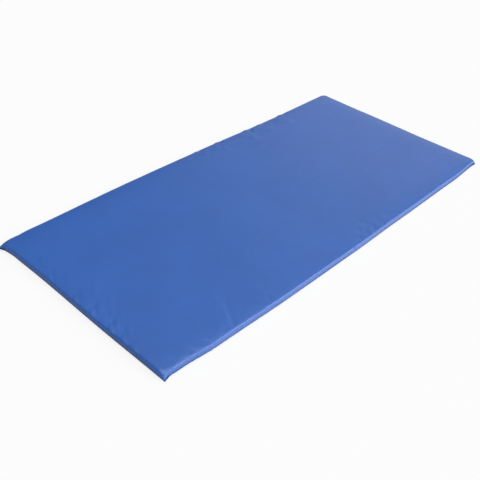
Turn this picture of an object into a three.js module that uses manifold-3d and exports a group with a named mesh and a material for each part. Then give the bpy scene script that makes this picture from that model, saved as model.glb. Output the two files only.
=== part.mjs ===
// Folding gym mat: two foam-filled vinyl panels that share one top sheet, which is their hinge.
//
// Millimetres, +Z up. The origin is the centre of the underside, X runs across the mat and Y along it.
// The fold is the line y = 0, level with the top. The near panel lies on the -Y side and stays down;
// the far panel lies on the +Y side and swings up and over until the two top faces meet.

import * as THREE from 'three';
import { mergeVertices } from 'three/addons/utils/BufferGeometryUtils.js';
import Module from 'manifold-3d';

const wasm = await Module();
wasm.setup();

// Driving dimensions
const matWidth = 610;
const matLength = 1219;
const matThickness = 20;
const sheetThickness = 0.6;
const fitGap = 0.4; // free space between a sheet and the piece behind it

// Plan outline: the sides are drawn in near the corners, where the seam ends in a point
const cornerPull = 5;
const longSideBow = 5;
const shortSideBow = -1.5;
const cornerRadius = 14;
const earReach = 20;
const earHeight = 12;

// Side profile: a small radius under the seam and a softer one at the shoulder
const lowerRadius = 6;
const shoulderRadius = 9;
const foamLowerRadius = 9;

// Fold
const topSheetGap = 0.3;
const foldWallGap = 1;
const hingeTapeWidth = 50;
const foamEndSetback = 3;

// Seams: the top and base sheets meet part of the way up the side
const seamHeight = 3.5;
const seamGap = 0.3;
const threadRadius = 0.4;
const threadInset = 2.2;
const threadSides = 6;

// Smoothness
const cornerSteps = 4;
const profileSteps = 4;
const longSideSteps = 8;
const shortSideSteps = 4;

const beyond = 2 * matLength; // larger than anything that it cuts


// ---- Solids -------------------------------------------------------------------------------------

// Joins rings of equal length into one closed body, capped at both ends, or joined end to start.
function loft(rings, { endless = false } = {}) {
  const count = rings[0].length;
  const index = [];
  const bands = endless ? rings.length : rings.length - 1;
  for (let band = 0; band < bands; band += 1) {
    const low = band * count;
    const high = ((band + 1) % rings.length) * count;
    for (let i = 0; i < count; i += 1) {
      const next = (i + 1) % count;
      index.push(low + i, low + next, high + next, low + i, high + next, high + i);
    }
  }
  if (!endless) {
    const last = (rings.length - 1) * count;
    for (const [a, b, c] of THREE.ShapeUtils.triangulateShape(flat(rings[0]), [])) {
      index.push(c, b, a);
    }
    for (const [a, b, c] of THREE.ShapeUtils.triangulateShape(flat(rings.at(-1)), [])) {
      index.push(last + a, last + b, last + c);
    }
  }
  const geometry = new THREE.BufferGeometry().setFromPoints(rings.flat());
  geometry.setIndex(index);
  return geometry;
}

function flat(ring) {
  return ring.map((point) => new THREE.Vector2(point.x, point.y));
}

function toSolid(geometry) {
  const bare = geometry.clone();
  bare.deleteAttribute('normal');
  bare.deleteAttribute('uv');
  const merged = mergeVertices(bare);
  const vertProperties = new Float32Array(merged.attributes.position.array);
  const triVerts = new Uint32Array(merged.index.array);
  return new wasm.Manifold(new wasm.Mesh({ numProp: 3, vertProperties, triVerts }));
}

function toGeometry(solid) {
  const { vertProperties, triVerts } = solid.getMesh();
  const geometry = new THREE.BufferGeometry();
  geometry.setAttribute('position', new THREE.BufferAttribute(new Float32Array(vertProperties), 3));
  geometry.setIndex(new THREE.BufferAttribute(new Uint32Array(triVerts), 1));
  geometry.computeVertexNormals();
  return geometry;
}

function box(low, high) {
  const size = new THREE.Vector3().subVectors(high, low);
  const geometry = new THREE.BoxGeometry(size.x, size.y, size.z);
  geometry.translate((low.x + high.x) / 2, (low.y + high.y) / 2, (low.z + high.z) / 2);
  return toSolid(geometry);
}

// All the space between two heights, or between two places along the mat
function layer(bottom, top) {
  return box(new THREE.Vector3(-beyond, -beyond, bottom), new THREE.Vector3(beyond, beyond, top));
}

function slice(near, far) {
  return box(new THREE.Vector3(-beyond, near, -beyond), new THREE.Vector3(beyond, far, beyond));
}


// ---- The mat's shape ----------------------------------------------------------------------------

// The outline at one height, anticlockwise from the +X end of the far side
function outline(height, inset, reach) {
  const halfWidth = matWidth / 2 - cornerPull - inset;
  const halfLength = matLength / 2 - cornerPull - inset;
  const centreX = halfWidth - cornerRadius;
  const centreY = halfLength - cornerRadius;
  const corners = [[1, 1], [-1, 1], [-1, -1], [1, -1]];
  const points = [];
  corners.forEach(([signX, signY], quarter) => {
    const diagonal = new THREE.Vector3(signX, signY, 0).normalize();
    for (let step = 0; step <= cornerSteps; step += 1) {
      const turn = step / cornerSteps;
      const angle = (quarter + turn) * Math.PI / 2;
      const point = new THREE.Vector3(
        signX * centreX + cornerRadius * Math.cos(angle),
        signY * centreY + cornerRadius * Math.sin(angle),
        height,
      );
      const ear = reach * (1 - Math.abs(2 * turn - 1));
      points.push(point.addScaledVector(diagonal, ear));
    }
    points.push(...sidePoints(quarter, halfWidth, halfLength, centreX, centreY, height));
  });
  return points;
}

// The points of one side between its corners: sides 0 and 2 are short, 1 and 3 are long
function sidePoints(quarter, halfWidth, halfLength, centreX, centreY, height) {
  const isShort = quarter % 2 === 0;
  const steps = isShort ? shortSideSteps : longSideSteps;
  const bow = isShort ? shortSideBow : longSideBow;
  const outward = quarter < 2 ? 1 : -1;
  const points = [];
  for (let step = 1; step < steps; step += 1) {
    const along = 1 - 2 * step / steps;
    const bulge = bow * (1 - along * along);
    if (isShort) {
      points.push(new THREE.Vector3(outward * along * centreX, outward * (halfLength + bulge), height));
    } else {
      points.push(new THREE.Vector3(-outward * (halfWidth + bulge), outward * along * centreY, height));
    }
  }
  return points;
}

function earAt(height) {
  const rise = Math.min(Math.max(height / earHeight, 0), 1);
  return earReach * (1 - rise) ** 2;
}

// The whole mat, shrunk by one distance on every side
function matBody(shrink, { underRadius = lowerRadius, ears = true } = {}) {
  const quarterTurn = Math.PI / 2;
  const rings = [];
  for (let step = 0; step <= profileSteps; step += 1) {
    const angle = quarterTurn * step / profileSteps;
    const radius = underRadius - shrink;
    const height = underRadius - radius * Math.cos(angle);
    const inset = underRadius - radius * Math.sin(angle);
    rings.push(outline(height, inset, ears ? earAt(height) : 0));
  }
  for (let step = 0; step <= profileSteps; step += 1) {
    const angle = quarterTurn * step / profileSteps;
    const radius = shoulderRadius - shrink;
    const height = matThickness - shoulderRadius + radius * Math.sin(angle);
    const inset = shoulderRadius - radius * Math.cos(angle);
    rings.push(outline(height, inset, ears ? earAt(height) : 0));
  }
  return toSolid(loft(rings));
}


// ---- Pieces of the near panel -------------------------------------------------------------------

const foldWallFace = foldWallGap / 2;
const foldWallBack = foldWallFace + sheetThickness;
const coverInside = sheetThickness + fitGap;
const undersideOfTop = matThickness - sheetThickness;
const tapeTop = undersideOfTop - fitGap;
const tapeBottom = tapeTop - sheetThickness;

// The whole vinyl cover between two heights, as far as a distance off the fold
function cover(bottom, top, offFold) {
  const shell = matBody(0).subtract(matBody(sheetThickness));
  return toGeometry(shell.intersect(layer(bottom, top)).intersect(slice(-beyond, -offFold)));
}

// The vinyl over the top and down the three outer sides, as far as the seam
function topSheet() {
  return cover(seamHeight + seamGap / 2, beyond, topSheetGap / 2);
}

// The vinyl underneath, turned up at the edges as far as the seam
function baseSheet() {
  return cover(-beyond, seamHeight - seamGap / 2, foldWallFace);
}

// The vinyl wall that closes the panel's pocket at the fold
function foldWall() {
  const inside = matBody(coverInside, { ears: false });
  const tall = inside.intersect(layer(coverInside, tapeBottom - fitGap));
  return toGeometry(tall.intersect(slice(-foldWallBack, -foldWallFace)));
}

// The strip welded under the top sheet along the fold, which carries the pull of the hinge
function hingeTape() {
  const half = matWidth / 2 - shoulderRadius;
  const low = new THREE.Vector3(-half, -hingeTapeWidth / 2, tapeBottom);
  const high = new THREE.Vector3(half, -topSheetGap / 2, tapeTop);
  return toGeometry(box(low, high));
}

// The foam slab, eased under the hinge tape and held back from the fold wall
function foamCore() {
  const slab = matBody(coverInside, { underRadius: foamLowerRadius, ears: false });
  const panel = slab.intersect(slice(-beyond, -foldWallBack - foamEndSetback));
  const rebate = layer(tapeBottom - fitGap, beyond).intersect(slice(-hingeTapeWidth / 2 - fitGap, 0));
  return toGeometry(panel.subtract(rebate));
}

// The stitch row that joins the base sheet to the skirt and to the fold wall, all round the panel
function baseSeam() {
  const foldSide = -foldWallBack - fitGap - 2 * threadRadius;
  const across = matWidth / 2 - cornerPull + longSideBow - threadInset;
  const loop = [
    new THREE.Vector3(-across, foldSide, seamHeight),
    ...outline(seamHeight, threadInset, 0).filter((point) => point.y < foldSide),
    new THREE.Vector3(across, foldSide, seamHeight),
  ];
  return loft(loop.map((point, i) => threadSection(loop, i)), { endless: true });
}

// A round section of the thread, mitred where the loop turns
function threadSection(loop, i) {
  const here = loop[i];
  const before = new THREE.Vector3().subVectors(here, loop.at(i - 1)).normalize();
  const after = new THREE.Vector3().subVectors(loop[(i + 1) % loop.length], here).normalize();
  const along = new THREE.Vector3().addVectors(before, after).normalize();
  const inward = new THREE.Vector3(-along.y, along.x, 0);
  const mitre = threadRadius / along.dot(after);
  const section = [];
  for (let k = 0; k < threadSides; k += 1) {
    const angle = 2 * Math.PI * k / threadSides;
    const point = here.clone().addScaledVector(inward, mitre * Math.cos(angle));
    point.z += threadRadius * Math.sin(angle);
    section.push(point);
  }
  return section;
}

// The stitch row that joins the fold wall to the hinge tape
function wallSeam() {
  const length = matWidth - 2 * shoulderRadius - 2 * cornerRadius;
  const geometry = new THREE.CylinderGeometry(threadRadius, threadRadius, length, threadSides);
  geometry.rotateZ(Math.PI / 2);
  const height = tapeBottom - fitGap - threadRadius;
  return geometry.translate(0, -foldWallBack - fitGap - threadRadius, height);
}


// ---- Finishes -----------------------------------------------------------------------------------

function vinyl(color, roughness) {
  return new THREE.MeshStandardMaterial({ color, roughness, metalness: 0 });
}

const topVinyl = vinyl(0x4e71b6, 0.42);
const baseVinyl = vinyl(0x3d5f9f, 0.55);
const foldVinyl = vinyl(0x44659f, 0.5);
const tapeWeb = vinyl(0x2f4a80, 0.8);
const foam = vinyl(0xe9e4d2, 0.95);
const thread = vinyl(0x36579a, 0.7);


// ---- Assembly -----------------------------------------------------------------------------------

function piece(name, geometry, material) {
  const mesh = new THREE.Mesh(geometry, material);
  mesh.name = name;
  return mesh;
}

function panel(name) {
  const group = new THREE.Group();
  group.name = `${name}_panel`;
  group.add(
    piece(`${name}_top_sheet`, topSheet(), topVinyl),
    piece(`${name}_base_sheet`, baseSheet(), baseVinyl),
    piece(`${name}_fold_wall`, foldWall(), foldVinyl),
    piece(`${name}_hinge_tape`, hingeTape(), tapeWeb),
    piece(`${name}_foam_core`, foamCore(), foam),
    piece(`${name}_base_seam`, baseSeam(), thread),
    piece(`${name}_wall_seam`, wallSeam(), thread),
  );
  return group;
}

// The far panel is the near one turned half way round
const farPanel = panel('far');
farPanel.rotation.z = Math.PI;

const mat = new THREE.Group();
mat.name = 'folding_gym_mat';
mat.add(panel('near'), farPanel);

export default mat;
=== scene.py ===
"""Folding gym mat: the looks of its vinyl cover, foam and stitching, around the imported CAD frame."""

import math

import bmesh
import bpy
import numpy as np
from mathutils import Matrix, Vector


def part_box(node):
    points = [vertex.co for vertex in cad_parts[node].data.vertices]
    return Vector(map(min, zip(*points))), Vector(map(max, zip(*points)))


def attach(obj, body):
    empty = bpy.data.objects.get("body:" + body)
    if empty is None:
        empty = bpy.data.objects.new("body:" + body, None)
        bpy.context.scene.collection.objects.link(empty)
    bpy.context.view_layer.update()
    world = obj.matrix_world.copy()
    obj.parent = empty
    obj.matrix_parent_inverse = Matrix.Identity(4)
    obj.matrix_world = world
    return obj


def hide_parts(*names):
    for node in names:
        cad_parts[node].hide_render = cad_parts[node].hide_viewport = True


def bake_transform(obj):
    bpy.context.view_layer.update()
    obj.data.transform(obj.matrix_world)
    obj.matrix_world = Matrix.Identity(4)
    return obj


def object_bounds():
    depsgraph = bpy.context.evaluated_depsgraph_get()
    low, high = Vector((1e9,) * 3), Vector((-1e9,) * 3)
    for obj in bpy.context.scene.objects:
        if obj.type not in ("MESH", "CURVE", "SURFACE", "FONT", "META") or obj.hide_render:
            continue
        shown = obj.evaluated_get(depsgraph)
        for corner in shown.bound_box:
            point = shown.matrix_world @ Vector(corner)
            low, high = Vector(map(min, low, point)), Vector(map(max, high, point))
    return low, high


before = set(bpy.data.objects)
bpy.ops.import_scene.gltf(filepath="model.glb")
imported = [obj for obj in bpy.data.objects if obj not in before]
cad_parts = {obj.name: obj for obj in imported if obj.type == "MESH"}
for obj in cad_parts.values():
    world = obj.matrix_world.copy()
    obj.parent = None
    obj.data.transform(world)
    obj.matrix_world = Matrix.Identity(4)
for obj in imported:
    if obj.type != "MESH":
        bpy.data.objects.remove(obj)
cad_low, cad_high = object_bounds()

# ---- Sizes, in metres, from the frame ----

HALF_WIDTH = cad_high.x
HALF_LENGTH = cad_high.y
LENGTH = 2 * HALF_LENGTH
TOP = cad_high.z
SEAM_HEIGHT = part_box("near_top_sheet")[0].z
SEAM_GAP = SEAM_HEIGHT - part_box("near_base_sheet")[1].z
BASE_EDGE = -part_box("near_base_sheet")[1].y          # from the fold to the base sheet's edge
TAPE_LOW, TAPE_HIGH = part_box("near_hinge_tape")
WALL_LOW, WALL_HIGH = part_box("near_fold_wall")
FOAM_LOW, FOAM_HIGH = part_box("near_foam_core")
SHEET = WALL_HIGH.y - WALL_LOW.y                     # thickness of the vinyl
FOLD_HALF = 0.00025                                  # half the width of the strip that bends at the fold

# The cover's side: how far the shoulder reaches inwards, and how the top is drawn down towards it
SHOULDER_REACH = 0.0068
EDGE_DROP = 0.002                    # the foam is pressed down this much where the top meets the shoulder
CROWN = 0.046                        # and has risen to its full height this far in
SEAM_INSET = 0.0003                  # the seam lies this far inside the widest part of the CAD outline
BASE_REACH = 0.0045                  # how far the base sheet's turned-up rim reaches
FOAM_REACH = 0.006
FOAM_SLACK = 0.0006                  # room between the foam and the vinyl
CURVE_STEPS = 60
HANDLE = 0.6                         # each curve's second point, as a share of its reach
SKIRT_BEND = (0.98, 0.12)            # the skirt's third point, as shares of its reach and its drop
RIM_BEND = 0.35                      # the rim's third point, as a share of its height
NORMAL_STEP = 1e-4                   # the sheet's slope is measured over twice this
TINY = 1e-12                         # keeps a division away from nought
CORNER_SLIDE = 0.025                 # surplus cloth at a corner is taken up over this length
ROUNDING_FADE = 0.03                 # corner rounding has died away this far in from the shoulder
OUTLINE_FADE = 0.09
EAR_WIDTH = 0.027                    # length of a corner's sewn point along each side
EAR_FLARE = 3                        # powers: how low on the side the point starts, and how sharp it is
EAR_SHARPNESS = 1.5

# Each corner, by the signs of its X and Y: radius at the shoulder, radius at the seam, and how far
# the seam's point sticks out past the long side and past the short side
CORNERS = {
    (-1, -1): (0.038, 0.001, 0.0, 0.0080),
    (1, -1): (0.022, 0.001, 0.0065, 0.0),
    (1, 1): (0.020, 0.004, 0.0030, 0.0),
    (-1, 1): (0.016, 0.010, 0.0, 0.0),
}

# How far each side bows out, or in where negative, at fractions of its length from its -Y or -X end
FRONT_STOPS = (
    (0, 0.04, 0.12, 0.3, 0.5, 0.66, 0.88, 1),
    (-0.004, -0.0025, 0.0035, 0.0068, 0.006, 0.0025, -0.001, -0.008),
)
BACK_STOPS = ((0, 0.07, 0.3, 0.55, 0.8, 1), (-0.0065, -0.0025, 0.0015, -0.0015, -0.010, -0.0105))
NEAR_STOPS = ((0, 0.1, 0.3, 0.65, 1), (0.008, 0.0035, 0.002, 0.003, 0.001))
FAR_STOPS = ((0, 0.3, 0.7, 1), (0.007, 0.003, -0.0025, -0.003))


# ---- The shape of the cover ----

def smoothstep(t):
    t = np.clip(t, 0, 1)
    return t * t * (3 - 2 * t)


def through(t, stops):
    """A smooth curve through the (places, values) of stops."""
    places, values = stops
    t = np.clip(t, 0, 1)
    i = np.clip(np.searchsorted(places, t, side="right") - 1, 0, len(places) - 2)
    a, b = np.array(places)[i], np.array(places)[i + 1]
    low, high = np.array(values)[i], np.array(values)[i + 1]
    return low + (high - low) * smoothstep((t - a) / (b - a))


def spaced(low, high, step):
    """Evenly spaced values from low to high, about a step apart."""
    return list(np.linspace(low, high, max(2, round((high - low) / step) + 1)))


def bezier(u, points):
    """Both coordinates of a cubic Bezier curve, given its four points, at each u."""
    v = 1 - u
    weights = (v**3, 3 * v * v * u, 3 * v * u * u, u**3)
    return tuple(sum(w * point[axis] for w, point in zip(weights, points)) for axis in (0, 1))


def skirt_curve(u):
    """The top sheet's side, from the shoulder line to the seam: distance outwards, height."""
    shoulder = TOP - EDGE_DROP
    drop = shoulder - SEAM_HEIGHT
    slope = 2 * EDGE_DROP / CROWN
    return bezier(u, (
        (0, shoulder),
        (HANDLE * SHOULDER_REACH, shoulder - HANDLE * slope * SHOULDER_REACH),
        (SKIRT_BEND[0] * SHOULDER_REACH, shoulder - SKIRT_BEND[1] * drop),
        (SHOULDER_REACH, SEAM_HEIGHT),
    ))


def rim_curve(u):
    """The base sheet's turned-up rim, from where it leaves the floor to the seam."""
    height = SEAM_HEIGHT - SEAM_GAP
    return bezier(u, (
        (0, 0),
        (HANDLE * BASE_REACH, 0),
        (BASE_REACH, RIM_BEND * height),
        (BASE_REACH, height),
    ))


def foam_curve(flat_height):
    """Half the foam's eased edge: from its flat top or bottom to the middle of its thickness."""
    middle = (FOAM_LOW.z + FOAM_HIGH.z) / 2

    def curve(u):
        return bezier(u, (
            (0, flat_height),
            (HANDLE * FOAM_REACH, flat_height),
            (FOAM_REACH, (flat_height + middle) / 2),
            (FOAM_REACH, middle),
        ))

    return curve


def curve_length(curve):
    """The length of sheet that a curve takes up."""
    out, z = curve(np.linspace(0, 1, CURVE_STEPS))
    return float(np.hypot(np.diff(out), np.diff(z)).sum())


class Sheet:
    """A flat rectangle of vinyl, (p, q), and where it lies once it is drawn over the mat's edges."""

    def __init__(self, curve, reach, inset, crown=0, eared=True):
        self.curve = curve
        self.length = curve_length(curve)
        self.flat_x = HALF_WIDTH - inset - reach
        self.flat_y = HALF_LENGTH - inset - reach
        self.crown = crown
        self.eared = eared

    def depth(self, p, q):
        """How far past the shoulder line a point is, measured along the sheet."""
        return np.maximum(np.abs(p) - self.flat_x, np.abs(q) - self.flat_y)

    def to_corner(self, p, q):
        """How far a point is from its corner's diagonal, measured along a side."""
        return np.abs(np.abs(p) - self.flat_x - np.abs(q) + self.flat_y)

    def place(self, p, q):
        """Where each point of the flat sheet lies on the mat."""
        right, far = np.where(p < 0, -1, 1), np.where(q < 0, -1, 1)
        over_x, over_y = np.abs(p) - self.flat_x, np.abs(q) - self.flat_y
        depth = np.maximum(over_x, over_y)
        u = np.clip(depth / self.length, 0, 1)
        out, z = self.curve(u)
        out = np.where(depth > 0, out, depth)
        low_x, low_y = (np.clip(1 + over / CROWN, 0, 1) ** 2 for over in (over_x, over_y))
        z = z + self.crown * (1 - low_x) * (1 - low_y)
        on_long = over_x >= over_y
        off_corner = np.where(on_long, depth - over_y, depth - over_x)
        surplus = np.where(depth > 0, depth - out, 0) * smoothstep(off_corner / CORNER_SLIDE)
        x = np.where(on_long, self.flat_x + out, self.flat_x + out - off_corner + surplus)
        y = np.where(on_long, self.flat_y + out - off_corner + surplus, self.flat_y + out)
        top_radius, seam_radius, reach_x, reach_y = corner_sizes(right, far)
        draw_in = corner_rounding(off_corner, depth, top_radius + (seam_radius - top_radius) * u)
        x = x - draw_in / math.sqrt(2)
        y = y - draw_in / math.sqrt(2)
        if self.eared:
            point = u**EAR_FLARE * np.clip(1 - off_corner / EAR_WIDTH, 0, 1) ** EAR_SHARPNESS
            x = x + reach_x * point
            y = y + reach_y * point
        return outline_pull(right * x, far * y, z, over_x, over_y)

    def normal(self, p, q):
        """Unit vectors square to the sheet, on the side that its first two directions turn about."""
        step = NORMAL_STEP
        along_p = self.place(p + step, q) - self.place(p - step, q)
        along_q = self.place(p, q + step) - self.place(p, q - step)
        n = np.cross(along_p, along_q)
        return n / np.maximum(np.linalg.norm(n, axis=1, keepdims=True), TINY)


def corner_sizes(right, far):
    """The four sizes of the corner that each point is nearest to."""
    sizes = np.zeros((4, len(right)))
    for (sign_x, sign_y), corner in CORNERS.items():
        sizes[:, (right == sign_x) & (far == sign_y)] = np.array(corner)[:, None]
    return sizes


def corner_rounding(off_corner, depth, radius):
    """How far a square corner is drawn in along its diagonal so that it is round."""
    radius = radius * smoothstep(1 + depth / ROUNDING_FADE)
    reach = (2 - math.sqrt(2)) * 2 * np.maximum(radius, TINY)
    return (math.sqrt(2) - 1) * radius * np.clip(1 - off_corner / reach, 0, 1) ** 2


def outline_pull(x, y, z, over_x, over_y):
    """Draws each side in or out as the real outline does, less and less towards the middle of the mat."""
    along_y = y / (2 * HALF_LENGTH) + 0.5
    along_x = x / (2 * HALF_WIDTH) + 0.5
    near_x = smoothstep(1 + over_x / OUTLINE_FADE)
    near_y = smoothstep(1 + over_y / OUTLINE_FADE)
    pull_x = np.where(x > 0, through(along_y, FRONT_STOPS), -through(along_y, BACK_STOPS))
    pull_y = np.where(y > 0, through(along_x, FAR_STOPS), -through(along_x, NEAR_STOPS))
    return np.stack((x + near_x * pull_x, y + near_y * pull_y, z), axis=1)


skirt = Sheet(skirt_curve, SHOULDER_REACH, SEAM_INSET, crown=EDGE_DROP)
rim = Sheet(rim_curve, BASE_REACH, SEAM_INSET)
foam_inset = SEAM_INSET + SHEET + FOAM_SLACK
foam_shoulder = FOAM_HIGH.z - EDGE_DROP - FOAM_SLACK
foam_top = Sheet(foam_curve(foam_shoulder), FOAM_REACH, foam_inset, crown=EDGE_DROP, eared=False)
foam_bottom = Sheet(foam_curve(FOAM_LOW.z), FOAM_REACH, foam_inset, eared=False)


# ---- Creases and puckers ----

# Each pucker on the top sheet: side, fraction of the side's length, reach over the top, slant, width, height
# Sides are front (+X), back (-X), near (-Y) and far (+Y); slant is sideways travel for each unit inwards.
PUCKERS = (
    ("front", 0.060, 0.060, 0.30, 0.006, 0.0007),
    ("front", 0.090, 0.080, 0.34, 0.006, 0.0010),
    ("front", 0.147, 0.190, 0.49, 0.008, 0.0019),
    ("front", 0.190, 0.070, 0.45, 0.006, 0.0007),
    ("front", 0.240, 0.110, 0.45, 0.007, 0.0014),
    ("front", 0.290, 0.045, 0.45, 0.006, 0.0006),
    ("front", 0.515, 0.050, 0.50, 0.006, 0.0008),
    ("front", 0.540, 0.070, 0.48, 0.006, 0.0010),
    ("front", 0.561, 0.065, 0.75, 0.006, 0.0010),
    ("front", 0.595, 0.055, 0.75, 0.006, 0.0009),
    ("back", 0.522, 0.050, -0.10, 0.006, 0.0009),
    ("back", 0.591, 0.095, -0.13, 0.008, 0.0014),
    ("back", 0.688, 0.120, -0.20, 0.009, 0.0018),
    ("back", 0.735, 0.095, 0.06, 0.008, 0.0013),
    ("back", 0.816, 0.110, -0.17, 0.009, 0.0018),
    ("near", 0.250, 0.055, -1.00, 0.006, 0.0005),
    ("near", 0.350, 0.060, -1.10, 0.006, 0.0006),
    ("near", 0.515, 0.075, -1.20, 0.007, 0.0007),
    ("near", 0.614, 0.100, -1.10, 0.007, 0.0008),
    ("near", 0.728, 0.105, -1.30, 0.007, 0.0008),
    ("near", 0.802, 0.075, -1.40, 0.006, 0.0006),
    ("near", 0.861, 0.060, -1.50, 0.006, 0.0005),
)

PUCKER_BEND = 0.4                    # how far in from the seam a pucker begins to slant, in skirt lengths
PUCKER_FULL = 1.1                    # and how far in it has its full height
PUCKER_VALLEY = (0.45, 1.7)          # the valley beside a ridge: its depth, and how many widths away

FINE_WAVES = ((0.0091, 0.5, 0.3), (0.0117, 0.35, 1.9), (0.0153, 0.4, 4.1))     # length, share, phase
SLOW_WAVES = ((0.083, 1.1), (0.131, 2.7), (0.047, 5.2))                        # length, phase
UNEVEN = 0.4
HEM_WAVE = 0.00040                   # height of the fine gathering at the hem
HEM_BAND = 1.6                       # how far up the top sheet it goes, in skirt lengths
HEM_CORNER_FADE = 0.012
HEM_SHIFT = (0.31, 0.77)             # makes it differ between long sides, and between short sides
FRONT_EXTRA = 0.8                    # how much stronger it is at the near end of the front side
FRONT_STRETCH = 0.5                  # the share of HALF_LENGTH over which that dies away
WANDER = 0.0002
WANDER_WAVES = ((9.1, 3.3, 0.4, 1), (5.3, -7.9, 2.1, 1), (17, 11, 1.2, 0.6), (14, -19, 5.0, 0.6))
TOP_RISE = 0.0008                    # most that the flat top stands proud, so that folded panels clear
SIDE_RISE = 0.0025                   # most that the side does, and deepest dip anywhere
MOST_DIP = 0.0012
FOLD_CALM = 0.03                     # the puckers die away over this distance towards the fold


def waves(s, parts):
    """A sum of sine waves along s; each part is a wavelength, a share and a phase."""
    return sum(share * np.sin(2 * np.pi * s / length + phase) for length, share, phase in parts)


def unevenness(s):
    """A slow wander between about 0.2 and 1 along a side."""
    slow = sum(np.sin(2 * np.pi * s / length + phase) for length, phase in SLOW_WAVES) / len(SLOW_WAVES)
    return 1 - UNEVEN + UNEVEN * slow


def side_coordinates(sheet, p, q, side):
    """Along a side, from its -Y or -X end, and inwards from the seam over the sheet."""
    if side in ("front", "back"):
        inward = sheet.flat_x + sheet.length - (p if side == "front" else -p)
        return q + HALF_LENGTH, inward, 2 * HALF_LENGTH
    inward = sheet.flat_y + sheet.length - (q if side == "far" else -q)
    return p + HALF_WIDTH, inward, 2 * HALF_WIDTH


def pucker_height(sheet, p, q):
    """The long drawn-in puckers that run in from the seam."""
    depth, apart = PUCKER_VALLEY
    height = np.zeros_like(p)
    for side, place, reach, slant, width, rise in PUCKERS:
        along, inward, length = side_coordinates(sheet, p, q, side)
        travel = np.clip(inward - PUCKER_BEND * sheet.length, 0, None)
        spread = 1 + travel / (reach + sheet.length)
        across = (along - place * length - slant * travel) / width / spread
        ridge = np.exp(-(across**2)) - depth * np.exp(-((across - apart) ** 2))
        growth = smoothstep(inward / (PUCKER_FULL * sheet.length))
        height += rise * ridge * growth * smoothstep((reach + sheet.length - inward) / reach)
    return height


def hem_height(sheet, p, q, depth_of_band):
    """Fine gathering along the seam, strongest on the first quarter of the front side."""
    over_x, over_y = np.abs(p) - sheet.flat_x, np.abs(q) - sheet.flat_y
    on_long = over_x >= over_y
    s = np.where(on_long, q + HEM_SHIFT[0] * np.sign(p), p + HEM_SHIFT[1] * np.sign(q))
    from_seam = sheet.length - np.maximum(over_x, over_y)
    near_end = smoothstep(1 - (q + HALF_LENGTH) / (FRONT_STRETCH * HALF_LENGTH))
    strength = 1 + FRONT_EXTRA * np.where(on_long & (p > 0), near_end, 0)
    fade = smoothstep(1 - from_seam / depth_of_band) * smoothstep(sheet.to_corner(p, q) / HEM_CORNER_FADE)
    return HEM_WAVE * waves(s, FINE_WAVES) * unevenness(s) * strength * fade


def wander_height(p, q):
    """Slow rises and falls of the whole top."""
    return WANDER * sum(share * np.sin(a * p + b * q + phase) for a, b, phase, share in WANDER_WAVES)


# ---- Gathers, by cloth simulation ----

GATHER_STEP = 0.0055                 # spacing of the simulated cloth
GATHER_FRAMES = 20
GATHER_SURPLUS = 0.06                # the hem is sewn up this much shorter than the vinyl it holds
GATHER_REACH = 0.06                  # the surplus dies away this far in over the top
GATHER_PRESSURE = 4
FIRM_HOLD = 0.32                     # the foam's hold on the middle of the sheet, and on its edge
EDGE_HOLD = 0.05
CLOTH_QUALITY = 5
CLOTH_STIFFNESS = 20                 # against being stretched or pressed together
CLOTH_SHEAR = 8
CLOTH_BENDING = 0.1
PUCKER_SPAN = 11                     # bulges wider than this many grid steps aren't puckers
PUCKER_GAIN = 2.5                    # the settled puckers are made this much higher


def spline_weights(t):
    """The shares of four neighbours in a smooth curve."""
    return (
        (1 - t) ** 3 / 6,
        (3 * t**3 - 6 * t * t + 4) / 6,
        (-3 * t**3 + 3 * t * t + 3 * t + 1) / 6,
        t**3 / 6,
    )


class Relief:
    """Heights on a regular grid over the flat sheet, read smoothly anywhere between."""

    def __init__(self, ps, qs, heights):
        self.low = (ps[0], qs[0])
        self.step = (ps[1] - ps[0], qs[1] - qs[0])
        self.heights = heights

    def read(self, p, q):
        a, b = (p - self.low[0]) / self.step[0], (q - self.low[1]) / self.step[1]
        i, j = np.floor(a).astype(int), np.floor(b).astype(int)
        total = np.zeros_like(a)
        for k, across in enumerate(spline_weights(a - i)):
            row = np.clip(i + k - 1, 0, self.heights.shape[0] - 1)
            for m, along in enumerate(spline_weights(b - j)):
                column = np.clip(j + m - 1, 0, self.heights.shape[1] - 1)
                total += across * along * self.heights[row, column]
        return total


def vertex_group(obj, name, weights):
    """A vertex group filled one level at a time, to two decimals."""
    group = obj.vertex_groups.new(name=name)
    for level in np.unique(np.round(weights, 2)):
        members = np.nonzero(np.round(weights, 2) == level)[0]
        group.add(members.tolist(), float(level), "REPLACE")
    return group.name


def cloth_settings(obj, held, slack):
    """Vinyl that is held in place, and slack, by the given shares."""
    cloth = obj.modifiers.new("cloth", "CLOTH")
    cloth.point_cache.frame_start = 1
    cloth.point_cache.frame_end = GATHER_FRAMES
    cloth.collision_settings.use_collision = False
    settings = cloth.settings
    settings.effector_weights.gravity = 0
    settings.quality = CLOTH_QUALITY
    settings.tension_stiffness = CLOTH_STIFFNESS
    settings.compression_stiffness = CLOTH_STIFFNESS
    settings.shear_stiffness = CLOTH_SHEAR
    settings.bending_stiffness = CLOTH_BENDING
    settings.use_pressure = True
    settings.uniform_pressure_force = GATHER_PRESSURE
    settings.vertex_group_mass = vertex_group(obj, "held", held)
    settings.vertex_group_shrink = vertex_group(obj, "slack", slack)
    settings.shrink_min = 0
    settings.shrink_max = -GATHER_SURPLUS


def grid_faces(count_p, count_q):
    return [
        (i * count_q + j, (i + 1) * count_q + j, (i + 1) * count_q + j + 1, i * count_q + j + 1)
        for i in range(count_p - 1)
        for j in range(count_q - 1)
    ]


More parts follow.
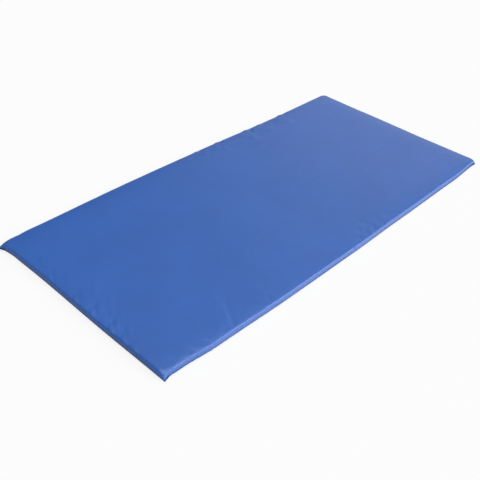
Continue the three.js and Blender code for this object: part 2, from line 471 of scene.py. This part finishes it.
def running_mean(grid, axis):
    """The mean over PUCKER_SPAN steps along one axis of the grid."""
    margin = [(0, 0), (0, 0)]
    margin[axis] = (PUCKER_SPAN // 2, PUCKER_SPAN // 2)
    window = np.ones(PUCKER_SPAN) / PUCKER_SPAN
    return np.apply_along_axis(np.convolve, axis, np.pad(grid, margin, mode="edge"), window, mode="valid")


def simulate_gathers(sheet):
    """Sews the sheet's hem up shorter than its vinyl, lets the cloth settle, and reads off the puckers."""
    ps = spaced(-sheet.flat_x - sheet.length, sheet.flat_x + sheet.length, GATHER_STEP)
    qs = spaced(-sheet.flat_y - sheet.length, sheet.flat_y + sheet.length, GATHER_STEP)
    p, q = (a.ravel() for a in np.meshgrid(ps, qs, indexing="ij"))
    normal = sheet.normal(p, q)
    height = pucker_height(sheet, p, q) + hem_height(sheet, p, q, sheet.length)
    start = sheet.place(p, q) + normal * height[:, None]
    mesh = bpy.data.meshes.new("gathers")
    mesh.from_pydata(start.tolist(), [], grid_faces(len(ps), len(qs)))
    obj = bpy.data.objects.new("gathers", mesh)
    bpy.context.scene.collection.objects.link(obj)
    depth = sheet.depth(p, q)
    near_edge = smoothstep(1 + depth / GATHER_REACH)
    held = FIRM_HOLD + (EDGE_HOLD - FIRM_HOLD) * near_edge
    held = np.where(depth > sheet.length - 0.5 * GATHER_STEP, 1, held)
    cloth_settings(obj, held, near_edge)
    for number in range(1, GATHER_FRAMES + 1):
        bpy.context.scene.frame_set(number)
    settled = np.empty(len(p) * 3)
    shown = obj.evaluated_get(bpy.context.evaluated_depsgraph_get())
    shown.data.vertices.foreach_get("co", settled)
    risen = ((settled.reshape(-1, 3) - start) * normal).sum(axis=1)
    bpy.data.objects.remove(obj)
    bpy.context.scene.frame_set(1)
    risen = risen.reshape(len(ps), len(qs))
    on_long = (np.abs(p) - sheet.flat_x >= np.abs(q) - sheet.flat_y).reshape(risen.shape)
    swell = np.where(on_long, running_mean(risen, 1), running_mean(risen, 0))
    fade = smoothstep(sheet.to_corner(p, q) / (2 * HEM_CORNER_FADE)).reshape(risen.shape)
    return Relief(ps, qs, PUCKER_GAIN * (risen - swell) * fade)


gathers = simulate_gathers(skirt)


def limited(height, most, least):
    """Height held smoothly between its limits."""
    return np.where(height > 0, most * np.tanh(height / most), least * np.tanh(height / least))


def top_height(p, q):
    """How far the top sheet rises or dips from its smooth shape."""
    sink = TOP - skirt.place(p, q)[:, 2]
    height = pucker_height(skirt, p, q) + hem_height(skirt, p, q, HEM_BAND * skirt.length)
    height = height + wander_height(p, q)
    if gathers:
        height = height + gathers.read(p, q)
    height = limited(height, np.minimum(TOP_RISE + sink, SIDE_RISE), MOST_DIP)
    return height * smoothstep(np.abs(q) / FOLD_CALM)


def top_surface(p, q):
    """The outer face of the top sheet: places, and unit vectors square to it."""
    normal = skirt.normal(p, q)
    return skirt.place(p, q) + normal * top_height(p, q)[:, None], normal


# ---- Mesh building ----

COARSE_STEP = 0.009
FINE_CUTS = 2                        # each coarse edge in the band along a side is divided into three
EDGE_BAND = 0.063                    # how far in over the flat the finely divided band reaches
BASE_BAND = 0.021                    # the same on the base sheet
ON_LINE = 1e-5                       # places closer than this are taken to be the same
RUB_PLACES = ((0.3, 0.25, 1), (1, 0.08, 0.8))        # share of the way down the side, spread, strength


def symmetric_lines(flat, length, band, step):
    """Grid lines from one hem to the other, with a line at each end of the fine band along the edge."""
    outside = spaced(flat - band, flat + length, step)
    middle = spaced(band - flat, flat - band, step)
    return sorted({round(v, 7) for v in [-v for v in outside] + middle + outside})


def flat_grid(bm, ps, qs):
    """A flat mesh of (p, q); returns its vertices, in columns."""
    verts = [[bm.verts.new((p, q, 0)) for q in qs] for p in ps]
    for i in range(len(ps) - 1):
        for j in range(len(qs) - 1):
            bm.faces.new((verts[i][j], verts[i + 1][j], verts[i + 1][j + 1], verts[i][j + 1]))
    return verts


def divide(bm, is_fine):
    """Divides the coarse edges that lie wherever is_fine(p, q) says so."""
    edges = []
    for e in bm.edges:
        a, b = e.verts[0].co, e.verts[1].co
        if (a - b).length > COARSE_STEP / (FINE_CUTS + 1) and is_fine(a.x, a.y) and is_fine(b.x, b.y):
            edges.append(e)
    bmesh.ops.subdivide_edges(bm, edges=edges, cuts=FINE_CUTS, use_grid_fill=True)


def to_object(name, bm, coordinates, rub):
    """The finished mesh, with its flat coordinates and how much each place is rubbed, for its material."""
    mesh = bpy.data.meshes.new(name)
    bm.to_mesh(mesh)
    bm.free()
    mesh.shade_smooth()
    sheet = mesh.attributes.new("sheet", "FLOAT_VECTOR", "POINT")
    sheet.data.foreach_set("vector", np.ascontiguousarray(coordinates, np.float32).ravel())
    rubbed = mesh.attributes.new("rub", "FLOAT", "POINT")
    rubbed.data.foreach_set("value", np.ascontiguousarray(rub, np.float32))
    obj = bpy.data.objects.new(name, mesh)
    bpy.context.scene.collection.objects.link(obj)
    return obj


def vert_places(bm):
    return np.array([v.co for v in bm.verts])


def move_verts(bm, places):
    for v, place in zip(bm.verts, places):
        v.co = place


def thicken(obj, thickness):
    """Gives a sheet its thickness, away from its outer face, which stays where it is."""
    solidify = obj.modifiers.new("thickness", "SOLIDIFY")
    solidify.thickness = thickness
    solidify.offset = -1
    bpy.context.view_layer.update()
    graph = bpy.context.evaluated_depsgraph_get()
    shown = obj.evaluated_get(graph)
    mesh = bpy.data.meshes.new_from_object(shown, preserve_all_data_layers=True, depsgraph=graph)
    obj.modifiers.clear()
    obj.data = mesh


def edge_rub(sheet, p, q):
    """Most rubbed at the bend of the shoulder and along the hem, less on the flat."""
    u = sheet.depth(p, q) / sheet.length
    return sum(strength * np.exp(-((u - place) / spread) ** 2) for place, spread, strength in RUB_PLACES)


# ---- The vinyl cover ----

SLIT_START = 0.0035                  # the side is slit at the fold from this far past the shoulder line
FOLD_ROWS = 6
FOLD_LINES = list(np.linspace(-FOLD_HALF, FOLD_HALF, FOLD_ROWS))
FOLD_CLEAR = 0.004                   # no other grid line is this near the fold
LIFT_BAND = 2.5                      # how far in the base is lifted by its gathering, in rim lengths


def make_top_sheet():
    """The cover over both panels, in one piece, with its sides slit at the fold."""
    ps = symmetric_lines(skirt.flat_x, skirt.length, EDGE_BAND, COARSE_STEP)
    qs = symmetric_lines(skirt.flat_y, skirt.length, EDGE_BAND, COARSE_STEP)
    bm = bmesh.new()
    flat_grid(bm, ps, sorted([q for q in qs if abs(q) > FOLD_CLEAR] + FOLD_LINES))
    divide(bm, lambda p, q: skirt.depth(p, q) > -EDGE_BAND - ON_LINE)
    slit = []
    for face in bm.faces:
        middle = face.calc_center_median()
        if abs(middle.y) < FOLD_HALF and abs(middle.x) > skirt.flat_x + SLIT_START:
            slit.append(face)
    bmesh.ops.delete(bm, geom=slit, context="FACES")
    flat = vert_places(bm)
    p, q = flat[:, 0], flat[:, 1]
    move_verts(bm, top_surface(p, q)[0])
    obj = to_object("top_sheet", bm, flat, edge_rub(skirt, p, q))
    thicken(obj, SHEET)
    return obj


def base_surface(p, q):
    """The outer face of the base sheet, which nowhere goes below the floor."""
    normal = -rim.normal(p, q)
    lift = np.abs(hem_height(rim, p, q, LIFT_BAND * rim.length))
    places = rim.place(p, q) + normal * (hem_height(rim, p, q, rim.length) - lift)[:, None]
    places[:, 2] = np.maximum(places[:, 2], 0)
    return places, normal


def make_base_sheet(name, side):
    """The vinyl underneath one panel; side is -1 for near and 1 for far."""
    ps = symmetric_lines(rim.flat_x, rim.length, BASE_BAND, COARSE_STEP)
    qs = symmetric_lines(rim.flat_y, rim.length, BASE_BAND, COARSE_STEP)
    bm = bmesh.new()
    flat_grid(bm, ps, [*[q for q in qs if q < -FOLD_CLEAR], -BASE_EDGE])
    divide(bm, lambda p, q: rim.depth(p, q) > -BASE_BAND - ON_LINE)
    flat = vert_places(bm) * (-side, -side, 1)
    p, q = flat[:, 0], flat[:, 1]
    move_verts(bm, base_surface(p, q)[0])
    bmesh.ops.reverse_faces(bm, faces=bm.faces)
    obj = to_object(name, bm, flat, edge_rub(rim, p, q))
    thicken(obj, SHEET)
    return obj


# ---- The fold: pocket walls and hinge tape ----

WALL_STEP = 0.005
WALL_SLACK = 0.0009                  # how far the wall hangs back from the fold at half its height
WALL_EVEN = 0.6                      # share of that hang that is the same all along the wall
WALL_WAVES = ((0.064, 0.7, 0.5), (0.027, 0.3, 1.7))
WALL_FOOT = SHEET + 0.0001
WALL_HALF = WALL_HIGH.x
WALL_RUB = 0.15                      # share of the wall's height, from its head down, that is rubbed
TAPE_DROP = 0.0002
TAPE_WAVE = 0.00008
TAPE_WAVES = ((0.051, 1, 0.2), (0.023, 0.6, 2.2))
TAPE_SLANT = 0.3
TAPE_RUB = 0.002                     # width of the rubbed stripe along each edge of the tape


def wall_half_width(z):
    """Half the width of the fold wall at a height: the inside of the cover there."""
    u = np.linspace(0, 1, CURVE_STEPS)
    rim_out, rim_z = rim_curve(u)
    side_out, side_z = skirt_curve(1 - u)
    heights = np.concatenate((rim_z, side_z))
    reaches = np.concatenate((rim.flat_x + rim_out, skirt.flat_x + side_out))
    return np.interp(z, heights, reaches) - SHEET - SEAM_GAP


def wall_head(x):
    """Height of the fold wall's upper edge, which follows the top sheet out to the shoulders."""
    p = np.linspace(0, skirt.flat_x + skirt.length, CURVE_STEPS * 4)
    line = skirt.place(p, np.zeros_like(p))
    return np.interp(np.abs(x), line[:, 0], line[:, 2]) - (TOP - WALL_HIGH.z)


def wall_surface(x, share, side):
    """The face of a fold wall that is bared when the mat folds, from its foot at 0 to its head at 1."""
    ripple = WALL_EVEN + (1 - WALL_EVEN) * unevenness(x) * waves(x, WALL_WAVES)
    y = WALL_HIGH.y - WALL_SLACK * np.sin(np.pi * share) * ripple
    z = WALL_FOOT + share * (wall_head(x) - WALL_FOOT)
    x = x / WALL_HALF * wall_half_width(z)
    places = np.stack((x, y, z), axis=1) * (-side, -side, 1)
    return places, np.tile((0.0, -float(side), 0.0), (len(x), 1))


def make_fold_wall(name, side):
    """The strip of vinyl that closes one panel's pocket at the fold."""
    bm = bmesh.new()
    height = WALL_HIGH.z - WALL_FOOT
    flat_grid(bm, spaced(-WALL_HALF, WALL_HALF, WALL_STEP), spaced(0, height, WALL_STEP / 2))
    flat = vert_places(bm)
    share = flat[:, 1] / height
    move_verts(bm, wall_surface(flat[:, 0], share, side)[0])
    bmesh.ops.reverse_faces(bm, faces=bm.faces)
    obj = to_object(name, bm, flat, np.exp(-((1 - share) / WALL_RUB) ** 2))
    thicken(obj, SHEET)
    return obj


def make_fold_tape():
    """The strip under the top sheet, along the fold."""
    half = -TAPE_LOW.y
    side_lines = [y for y in spaced(-half, half, WALL_STEP) if abs(y) > FOLD_CLEAR / 2]
    bm = bmesh.new()
    flat_grid(bm, spaced(TAPE_LOW.x, TAPE_HIGH.x, WALL_STEP), sorted(side_lines + FOLD_LINES))
    flat = vert_places(bm)
    x, y = flat[:, 0], flat[:, 1]
    ripple = TAPE_WAVE * waves(x + TAPE_SLANT * y, TAPE_WAVES) * smoothstep(abs(y) / half)
    places = skirt.place(x, y)
    places[:, 2] += ripple - TAPE_DROP - (TOP - TAPE_HIGH.z)
    move_verts(bm, places)
    obj = to_object("fold_tape", bm, flat, np.exp(-((half - abs(y)) / TAPE_RUB) ** 2))
    thicken(obj, TAPE_HIGH.z - TAPE_LOW.z)
    return obj


# ---- Foam ----

FOAM_STEP = 0.012
FOAM_FINE = FOAM_STEP / 3            # spacing of the grid lines near the slab's edges
FOAM_EDGE_LINES = 8
FOAM_THINNING = 3                    # farther in, one line in three is kept
FOAM_WAVE = 0.0002
SAW_WAVES = ((0.031, 1, 0.4), (0.012, 0.4, 2.0))
SAW_SLANT = 0.2


def make_foam(name, side):
    """A slab sawn square at the fold, its other edges pressed round by the cover."""
    end = FOAM_HIGH.y
    bm = bmesh.new()
    ps = symmetric_lines(foam_top.flat_x, foam_top.length, FOAM_STEP, FOAM_FINE)
    qs = symmetric_lines(foam_top.flat_y, foam_top.length, FOAM_STEP, FOAM_FINE)
    n = FOAM_EDGE_LINES
    ps = ps[:n] + ps[n:-n:FOAM_THINNING] + ps[-n:]
    qs = qs[:n] + [q for q in qs[n::FOAM_THINNING] if q < end - FOAM_FINE] + [end]
    top = flat_grid(bm, ps, qs)
    bottom = flat_grid(bm, ps, qs)
    for i in range(len(ps) - 1):
        bm.faces.new((top[i][-1], top[i + 1][-1], bottom[i + 1][-1], bottom[i][-1]))
    flat = vert_places(bm) * (-side, -side, 1)
    p, q = flat[:, 0], flat[:, 1]
    is_top = np.arange(len(flat)) < len(flat) // 2
    inside = smoothstep(-foam_top.depth(p, q) / FOAM_STEP)
    sawn = FOAM_WAVE * waves(q + SAW_SLANT * p, SAW_WAVES) * inside
    places = np.where(is_top[:, None], foam_top.place(p, q), foam_bottom.place(p, q))
    places[:, 2] += np.where(is_top, sawn, -sawn)
    move_verts(bm, places)
    deep = np.where(is_top, 1.0, -1.0) * (FOAM_HIGH.z - FOAM_LOW.z) / 2
    obj = to_object(name, bm, np.stack((p, q, deep), axis=1), 1 - inside)
    weld(obj)
    return obj


def weld(obj):
    """Joins the slab's upper and lower skins where they meet, and turns every face outwards."""
    bm = bmesh.new()
    bm.from_mesh(obj.data)
    bmesh.ops.remove_doubles(bm, verts=bm.verts, dist=ON_LINE)
    bmesh.ops.recalc_face_normals(bm, faces=bm.faces)
    bm.to_mesh(obj.data)
    bm.free()


# ---- Stitching ----

STITCH_PITCH = 0.0052
STITCH_LENGTH = 0.0041
STITCH_THREAD = 0.00032              # radius of the sewing thread
STITCH_TAPER = 0.55                  # share of that radius left at each end of a stitch
STITCH_SINK = 0.00028                # how far each end of a stitch is pulled into the vinyl
STITCH_SECTIONS = 7
STITCH_SIDES = 6
HEM_STITCH = 0.93                    # the base seam's stitches: how far down the side they lie
WALL_STITCHES = (0.13, 0.94)         # how far up the fold wall its two rows run, as shares of its height


def stitch_legs(corners):
    """Start and end places of each stitch along the straight legs between corners."""
    for start, end in zip(corners[:-1], corners[1:]):
        start, end = np.array(start), np.array(end)
        length = np.linalg.norm(end - start)
        count = int(length / STITCH_PITCH)
        along = (end - start) / length
        for k in range(count):
            first = (k + 0.5) * length / count - STITCH_LENGTH / 2
            yield start + along * first, start + along * (first + STITCH_LENGTH)


def make_stitches(name, corners, surface):
    """A row of stitches on a surface; corners are in that surface's flat coordinates."""
    share = np.linspace(0, 1, STITCH_SECTIONS)
    ends = np.array([(a, b) for a, b in stitch_legs(corners)])
    flat = ends[:, :1] + (ends[:, 1:] - ends[:, :1]) * share[None, :, None]
    places, normals = surface(flat[..., 0].ravel(), flat[..., 1].ravel())
    rise = np.tile(STITCH_SINK * (2 * np.sin(np.pi * share) - 1), len(ends))
    fullness = STITCH_TAPER + (1 - STITCH_TAPER) * np.sqrt(np.sin(np.pi * share))
    thick = np.tile(STITCH_THREAD * fullness, len(ends))
    places = (places + normals * rise[:, None]).reshape(len(ends), STITCH_SECTIONS, 3)
    bm = bmesh.new()
    coordinates = []
    for k, path in enumerate(places):
        normal = normals[k * STITCH_SECTIONS]
        along = path[-1] - path[0]
        along = along / np.linalg.norm(along)
        across = np.cross(along, normal)
        across = across / np.linalg.norm(across)
        rings = []
        for m, centre in enumerate(path):
            ring = []
            for n in range(STITCH_SIDES):
                angle = 2 * math.pi * n / STITCH_SIDES
                offset = math.cos(angle) * across + math.sin(angle) * normal
                ring.append(bm.verts.new(centre + thick[k * STITCH_SECTIONS + m] * offset))
                coordinates.append((share[m] * STITCH_LENGTH, angle * STITCH_THREAD, 0))
            rings.append(ring)
        close_rings(bm, rings)
    bmesh.ops.recalc_face_normals(bm, faces=bm.faces)
    return to_object(name, bm, coordinates, np.zeros(len(coordinates)))


def close_rings(bm, rings):
    """Skins a run of rings into one closed body."""
    for ring, following in zip(rings[:-1], rings[1:]):
        for n in range(len(ring)):
            after = (n + 1) % len(ring)
            bm.faces.new((ring[n], ring[after], following[after], following[n]))
    bm.faces.new(rings[0][::-1])
    bm.faces.new(rings[-1])


def make_base_stitches(name, side):
    """The row round one base sheet's three outer sides."""
    depth = HEM_STITCH * skirt.length
    p, q = skirt.flat_x + depth, skirt.flat_y + depth
    corners = ((p, side * FOLD_CLEAR), (p, side * q), (-p, side * q), (-p, side * FOLD_CLEAR))
    return make_stitches(name, corners, top_surface)


def make_wall_stitches(name, side):
    """Two rows across the fold wall: at its foot to the base sheet, and at its head to the hinge tape."""
    def surface(x, share):
        return wall_surface(x, share, side)

    half = WALL_HALF - STITCH_PITCH
    return join([make_stitches(name, ((-half, share), (half, share)), surface) for share in WALL_STITCHES])


def join(objects):
    with bpy.context.temp_override(active_object=objects[0], selected_editable_objects=objects):
        bpy.ops.object.join()
    return objects[0]


# ---- Materials ----

COAT = 0.8                           # the vinyl's glossy coat: strength and roughness
COAT_ROUGHNESS = 0.35


class Paint:
    """A node material being put together."""

    def __init__(self, name):
        self.material = bpy.data.materials.new(name)
        self.material.use_nodes = True
        self.tree = self.material.node_tree
        self.surface = self.tree.nodes["Principled BSDF"]

    def join(self, value, socket):
        """Feeds a socket with another node's output, or sets it to a plain value."""
        if isinstance(value, bpy.types.NodeSocket):
            self.tree.links.new(value, socket)
        else:
            socket.default_value = value

    def node(self, kind, inputs, output=0, **settings):
        """Adds a shader node and returns one of its outputs."""
        made = self.tree.nodes.new("ShaderNode" + kind)
        for key, value in settings.items():
            setattr(made, key, value)
        for key, value in inputs.items():
            self.join(value, made.inputs[key])
        return made.outputs[output]

    def place(self, stretch=(1, 1, 1)):
        """Coordinates that stay with the cloth, in metres along its own two directions."""
        sheet = self.node("Attribute", {}, output=1, attribute_name="sheet")
        return self.node("VectorMath", {0: sheet, 1: stretch}, operation="MULTIPLY")

    def rub(self):
        return self.node("Attribute", {}, output=2, attribute_name="rub")

    def noise(self, place, size, detail=2.0, roughness=0.5):
        """Soft noise whose features are about this many metres across."""
        inputs = {"Vector": place, "Scale": 1 / size, "Detail": detail, "Roughness": roughness}
        return self.node("TexNoise", inputs)

    def cells(self, place, size, feature="F1"):
        return self.node("TexVoronoi", {"Vector": place, "Scale": 1 / size}, feature=feature)

    def maths(self, operation, a, b):
        return self.node("Math", {0: a, 1: b}, operation=operation)

    def ranged(self, value, low, high, to_low, to_high):
        inputs = {"Value": value, "From Min": low, "From Max": high, "To Min": to_low, "To Max": to_high}
        return self.node("MapRange", inputs)

    def mixed(self, share, a, b):
        """A colour between a, a colour or an output, and the colour b."""
        first = (*a, 1) if isinstance(a, tuple) else a
        return self.node("Mix", {0: share, 6: first, 7: (*b, 1)}, output=2, data_type="RGBA")

    def bump(self, height, distance, strength=1.0, under=None):
        inputs = {"Height": height, "Distance": distance, "Strength": strength}
        if under is not None:
            inputs["Normal"] = under
        return self.node("Bump", inputs)

    def finish(self, **inputs):
        """Sets the surface's inputs, with underscores for spaces in their names."""
        for key, value in inputs.items():
            self.join(value, self.surface.inputs[key.replace("_", " ")])
        return self.material


def toned(colour, share):
    """The colour made lighter or darker."""
    return tuple(min(1, c * share) for c in colour)


def vinyl(name, colour, roughness, grain, ripple):
    """Embossed vinyl: pebbled grain, faint calender ripple, uneven sheen and dye, scuffed where it rubs."""
    paint = Paint(name)
    place = paint.place()
    drawn = paint.place((1, 0.18, 1))
    rub = paint.rub()
    cells = paint.cells(place, grain)
    fine = paint.noise(place, grain / 3)
    pebbles = paint.maths("ADD", cells, paint.maths("MULTIPLY", fine, 0.3))
    broad = paint.noise(place, 0.16, detail=3)
    mottle = paint.noise(place, 0.012, detail=4, roughness=0.65)
    dye = paint.maths("ADD", paint.maths("MULTIPLY", broad, 0.6), paint.maths("MULTIPLY", mottle, 0.4))
    tint = paint.mixed(paint.ranged(dye, 0.35, 0.65, 0, 1), toned(colour, 0.93), toned(colour, 1.07))
    scuffs = paint.noise(paint.place((1, 0.4, 1)), 0.006, detail=6, roughness=0.75)
    scuffed = paint.maths("MULTIPLY", rub, paint.ranged(scuffs, 0.48, 0.75, 0, 0.45))
    pale = tuple(c + 0.3 * (0.55 - c) for c in colour)
    tint = paint.mixed(scuffed, tint, pale)
    valleys = paint.ranged(cells, 0.45, 0.9, 0, 0.25)
    tint = paint.mixed(valleys, tint, toned(colour, 0.82))
    streaks = paint.noise(drawn, 0.02, detail=3)
    gloss = paint.ranged(streaks, 0.3, 0.7, roughness - 0.04, roughness + 0.05)
    gloss = paint.maths("ADD", gloss, paint.maths("MULTIPLY", scuffed, 0.3))
    swell = paint.bump(paint.noise(drawn, 0.03, detail=2), ripple)
    normal = paint.bump(pebbles, grain * 0.06, strength=0.6, under=swell)
    return paint.finish(Base_Color=tint, Roughness=gloss, Normal=normal, IOR=1.5,
                        Coat_Weight=COAT, Coat_Roughness=COAT_ROUGHNESS, Coat_Normal=swell)


def webbing(name, colour):
    """Woven tape: ribs across, a finer weave over them, a little fuzz and fading at its edges."""
    paint = Paint(name)
    place = paint.place()
    ribs = paint.node("TexWave", {"Vector": place, "Scale": 150, "Distortion": 0.6}, output=1,
                      bands_direction="X")
    picks = paint.node("TexWave", {"Vector": place, "Scale": 260, "Distortion": 0.8}, output=1,
                       bands_direction="Y")
    weave = paint.maths("MULTIPLY", ribs, paint.ranged(picks, 0, 1, 0.45, 1))
    fuzz = paint.noise(place, 0.0008, detail=4)
    tint = paint.mixed(weave, toned(colour, 0.6), toned(colour, 1.15))
    faded = paint.maths("MULTIPLY", paint.rub(), 0.5)
    tint = paint.mixed(faded, tint, tuple(c + 0.25 * (0.7 - c) for c in colour))
    normal = paint.bump(paint.maths("ADD", weave, paint.maths("MULTIPLY", fuzz, 0.3)), 0.00035)
    return paint.finish(Base_Color=tint, Roughness=paint.ranged(fuzz, 0.3, 0.7, 0.75, 0.95), Normal=normal)


def foam(name, colour):
    """Open-cell foam: torn cells of two sizes, saw marks, and a yellowed skin."""
    paint = Paint(name)
    place = paint.place()
    large = paint.cells(place, 0.0024, feature="F2")
    small = paint.cells(place, 0.0009)
    torn = paint.maths("ADD", large, paint.maths("MULTIPLY", small, 0.6))
    saw = paint.noise(paint.place((0.1, 1, 1)), 0.004, detail=3)
    tint = paint.mixed(paint.ranged(torn, 0.3, 1.2, 0, 1), toned(colour, 0.72), colour)
    aged = paint.ranged(paint.noise(place, 0.07, detail=4), 0.4, 0.7, 0, 0.5)
    aged = paint.maths("ADD", aged, paint.maths("MULTIPLY", paint.rub(), 0.3))
    tint = paint.mixed(aged, tint, (colour[0] * 0.92, colour[1] * 0.82, colour[2] * 0.6))
    normal = paint.bump(saw, 0.0004, under=paint.bump(torn, 0.0009))
    return paint.finish(Base_Color=tint, Roughness=paint.ranged(torn, 0, 1, 0.85, 1), Normal=normal)


def thread(name, colour):
    """Twisted sewing thread: a slanting ply, with fuzz."""
    paint = Paint(name)
    turned = paint.node("VectorRotate", {"Vector": paint.place(), "Angle": math.radians(40)},
                        rotation_type="Z_AXIS")
    ply = paint.node("TexWave", {"Vector": turned, "Scale": 420}, output=1)
    fuzz = paint.noise(paint.place(), 0.0003, detail=4)
    tint = paint.mixed(paint.maths("MULTIPLY", ply, paint.ranged(fuzz, 0, 1, 0.6, 1.2)),
                       toned(colour, 0.55), toned(colour, 1.2))
    normal = paint.bump(ply, 0.0001, under=paint.bump(fuzz, 0.00005))
    return paint.finish(Base_Color=tint, Roughness=paint.ranged(fuzz, 0.3, 0.7, 0.55, 0.8), Normal=normal)


TOP_BLUE = (0.018, 0.118, 0.48)
# The base sheet's blue is darker than the vinyl's own tone: painted shade for the dark line where the mat
# meets the floor
BASE_BLUE_PAINTED_SHADE = (0.016, 0.066, 0.27)
FOLD_BLUE = (0.02, 0.092, 0.38)
TAPE_BLUE = (0.03, 0.07, 0.22)
THREAD_BLUE = (0.03, 0.1, 0.36)
FOAM_CREAM = (0.82, 0.76, 0.56)


# ---- Assembly ----


def dress(obj, material, slot, *nodes):
    """Gives a finished piece its material, and hides the CAD nodes it stands for."""
    obj.data.materials.clear()
    obj.data.materials.append(material)
    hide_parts(*nodes)


def blend_at_fold(obj):
    """Bakes the piece's placing into its mesh."""
    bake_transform(obj)


top_vinyl = vinyl("top_vinyl", TOP_BLUE, roughness=0.45, grain=0.0009, ripple=0.00025)
# The base sheet's vinyl carries painted shade in its darkened blue, for the mat's dark foot
base_vinyl = vinyl("base_vinyl", BASE_BLUE_PAINTED_SHADE, roughness=0.52, grain=0.0016, ripple=0.00015)
fold_vinyl = vinyl("fold_vinyl", FOLD_BLUE, roughness=0.45, grain=0.0009, ripple=0.0002)
tape_web = webbing("hinge_tape", TAPE_BLUE)
foam_block = foam("foam", FOAM_CREAM)
sewing = thread("thread", THREAD_BLUE)

top_sheet = make_top_sheet()
dress(top_sheet, top_vinyl, "top_vinyl", "near_top_sheet", "far_top_sheet")
blend_at_fold(top_sheet)

fold_tape = make_fold_tape()
dress(fold_tape, tape_web, "hinge_tape", "near_hinge_tape", "far_hinge_tape")
blend_at_fold(fold_tape)

# Pieces that each panel has one of: how it's made, its name, its material, its slot and its CAD node
PANEL_PIECES = (
    (make_base_sheet, "base", base_vinyl, "base_vinyl", "base_sheet"),
    (make_fold_wall, "wall", fold_vinyl, "fold_vinyl", "fold_wall"),
    (make_foam, "foam", foam_block, "foam", "foam_core"),
    (make_base_stitches, "base_stitches", sewing, "thread", "base_seam"),
    (make_wall_stitches, "wall_stitches", sewing, "thread", "wall_seam"),
)

for panel, side in (("near", -1), ("far", 1)):
    for make, name, material, slot, node in PANEL_PIECES:
        piece = make(f"{panel}_{name}", side)
        dress(piece, material, slot, f"{panel}_{node}")
        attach(piece, f"{panel}_panel")


# ---- Stage, light and camera ----

# The camera's place, as shares of the mat's length from the centre of its underside, and its aim
CAMERA_PLACE = Vector((0.8652, -0.9798, 0.8759)) * LENGTH
CAMERA_YAW = math.radians(133.57)
CAMERA_PITCH = math.radians(-37.01)
CAMERA_ROLL = math.radians(-1.84)
CAMERA_SENSOR = 36
CAMERA_LENS = 52.84

FLOOR_SIZE = 12
FLOOR_WHITE = (0.93, 0.93, 0.93)
FLOOR_ROUGHNESS = 0.9
FLOOR_GLOW = 1.0
FLOOR_SHADOWS = 0.22                 # share of plain white paint in the floor that the camera sees
FLOOR_BOUNCE = 0.5                   # and in the floor that lights the mat
FLOOR_POOL = (0.3, 0.32)             # between these X the floor's glow on the mat goes from dim to bright
DIM_GLOW = 0.05
POOL_GLOW = 1.6

AMBIENT = 0.07
# Each lobe of light: azimuth from +X, elevation, how narrow it is, and strength
SOFT_LIGHTS = (
    (0, 90, 20, 4.2),
    (310, 45, 6, 1.2),
    (120, 65, 12, 0.3),
    (142, 50, 16, 0.1),
    (116, 18, 16, 0.85),
    (35, 22, 20, 6.6),
)


def make_camera():
    """The photo's camera, placed and turned as fitted to the mat's outline."""
    camera = bpy.data.cameras.new("camera")
    camera.sensor_width = CAMERA_SENSOR
    camera.lens = CAMERA_LENS
    obj = bpy.data.objects.new("camera", camera)
    bpy.context.scene.collection.objects.link(obj)
    forward = pointing(CAMERA_YAW, CAMERA_PITCH)
    level = forward.cross(Vector((0, 0, 1))).normalized()
    down = forward.cross(level)
    right = level * math.cos(CAMERA_ROLL) + down * math.sin(CAMERA_ROLL)
    up = right.cross(forward)
    turn = Matrix((right, up, -forward)).transposed().to_4x4()
    obj.matrix_world = Matrix.Translation(CAMERA_PLACE) @ turn
    bpy.context.scene.camera = obj


def pointing(azimuth, elevation):
    """The unit vector at an azimuth from +X and an elevation above the horizon."""
    level = math.cos(elevation)
    return Vector((level * math.cos(azimuth), level * math.sin(azimuth), math.sin(elevation)))


def make_floor():
    """A floor that looks nearly white and lights the mat unevenly, as in the photo."""
    bpy.ops.mesh.primitive_plane_add(size=FLOOR_SIZE, location=(0, 0, 0))
    floor = bpy.context.object
    floor.name = "floor"
    paint = Paint("floor")
    paint.finish(Base_Color=(*FLOOR_WHITE, 1), Roughness=FLOOR_ROUGHNESS)
    seen = paint.node("LightPath", {})
    place = paint.node("TexCoord", {}, output=3)
    pool = paint.ranged(paint.node("SeparateXYZ", {"Vector": place}), *FLOOR_POOL, DIM_GLOW, POOL_GLOW)
    shaded = paint.ranged(seen, 0, 1, FLOOR_BOUNCE, FLOOR_SHADOWS)
    strength = paint.node("Mix", {0: seen, 2: pool, 3: FLOOR_GLOW})
    glow = paint.node("Emission", {"Color": (1, 1, 1, 1), "Strength": strength})
    mixed = paint.node("MixShader", {0: shaded, 1: glow, 2: paint.surface.outputs[0]})
    paint.tree.links.new(mixed, paint.tree.nodes["Material Output"].inputs["Surface"])
    floor.data.materials.append(paint.material)


def make_world():
    """Soft light from all round, as a sum of smooth lobes."""
    world = bpy.data.worlds.new("studio")
    world.use_nodes = True
    bpy.context.scene.world = world
    tree = world.node_tree

    def node(kind, a, b, operation):
        made = tree.nodes.new("ShaderNode" + kind)
        made.operation = operation
        for value, socket in ((a, made.inputs[0]), (b, made.inputs[1])):
            if isinstance(value, bpy.types.NodeSocket):
                tree.links.new(value, socket)
            else:
                socket.default_value = value
        return made.outputs["Value"]

    direction = tree.nodes.new("ShaderNodeTexCoord").outputs["Generated"]
    total = AMBIENT
    for azimuth, elevation, narrowness, strength in SOFT_LIGHTS:
        toward = pointing(math.radians(azimuth), math.radians(elevation))
        facing = node("VectorMath", direction, toward, "DOT_PRODUCT")
        facing = node("Math", facing, 0, "MAXIMUM")
        lobe = node("Math", facing, narrowness, "POWER")
        lobe = node("Math", lobe, strength, "MULTIPLY")
        total = node("Math", lobe, total, "ADD")
    tree.links.new(total, tree.nodes["Background"].inputs["Strength"])
    tree.nodes["Background"].inputs["Color"].default_value = (1, 1, 1, 1)


make_camera()
make_floor()
make_world()
bpy.context.scene.view_settings.view_transform = "Standard"
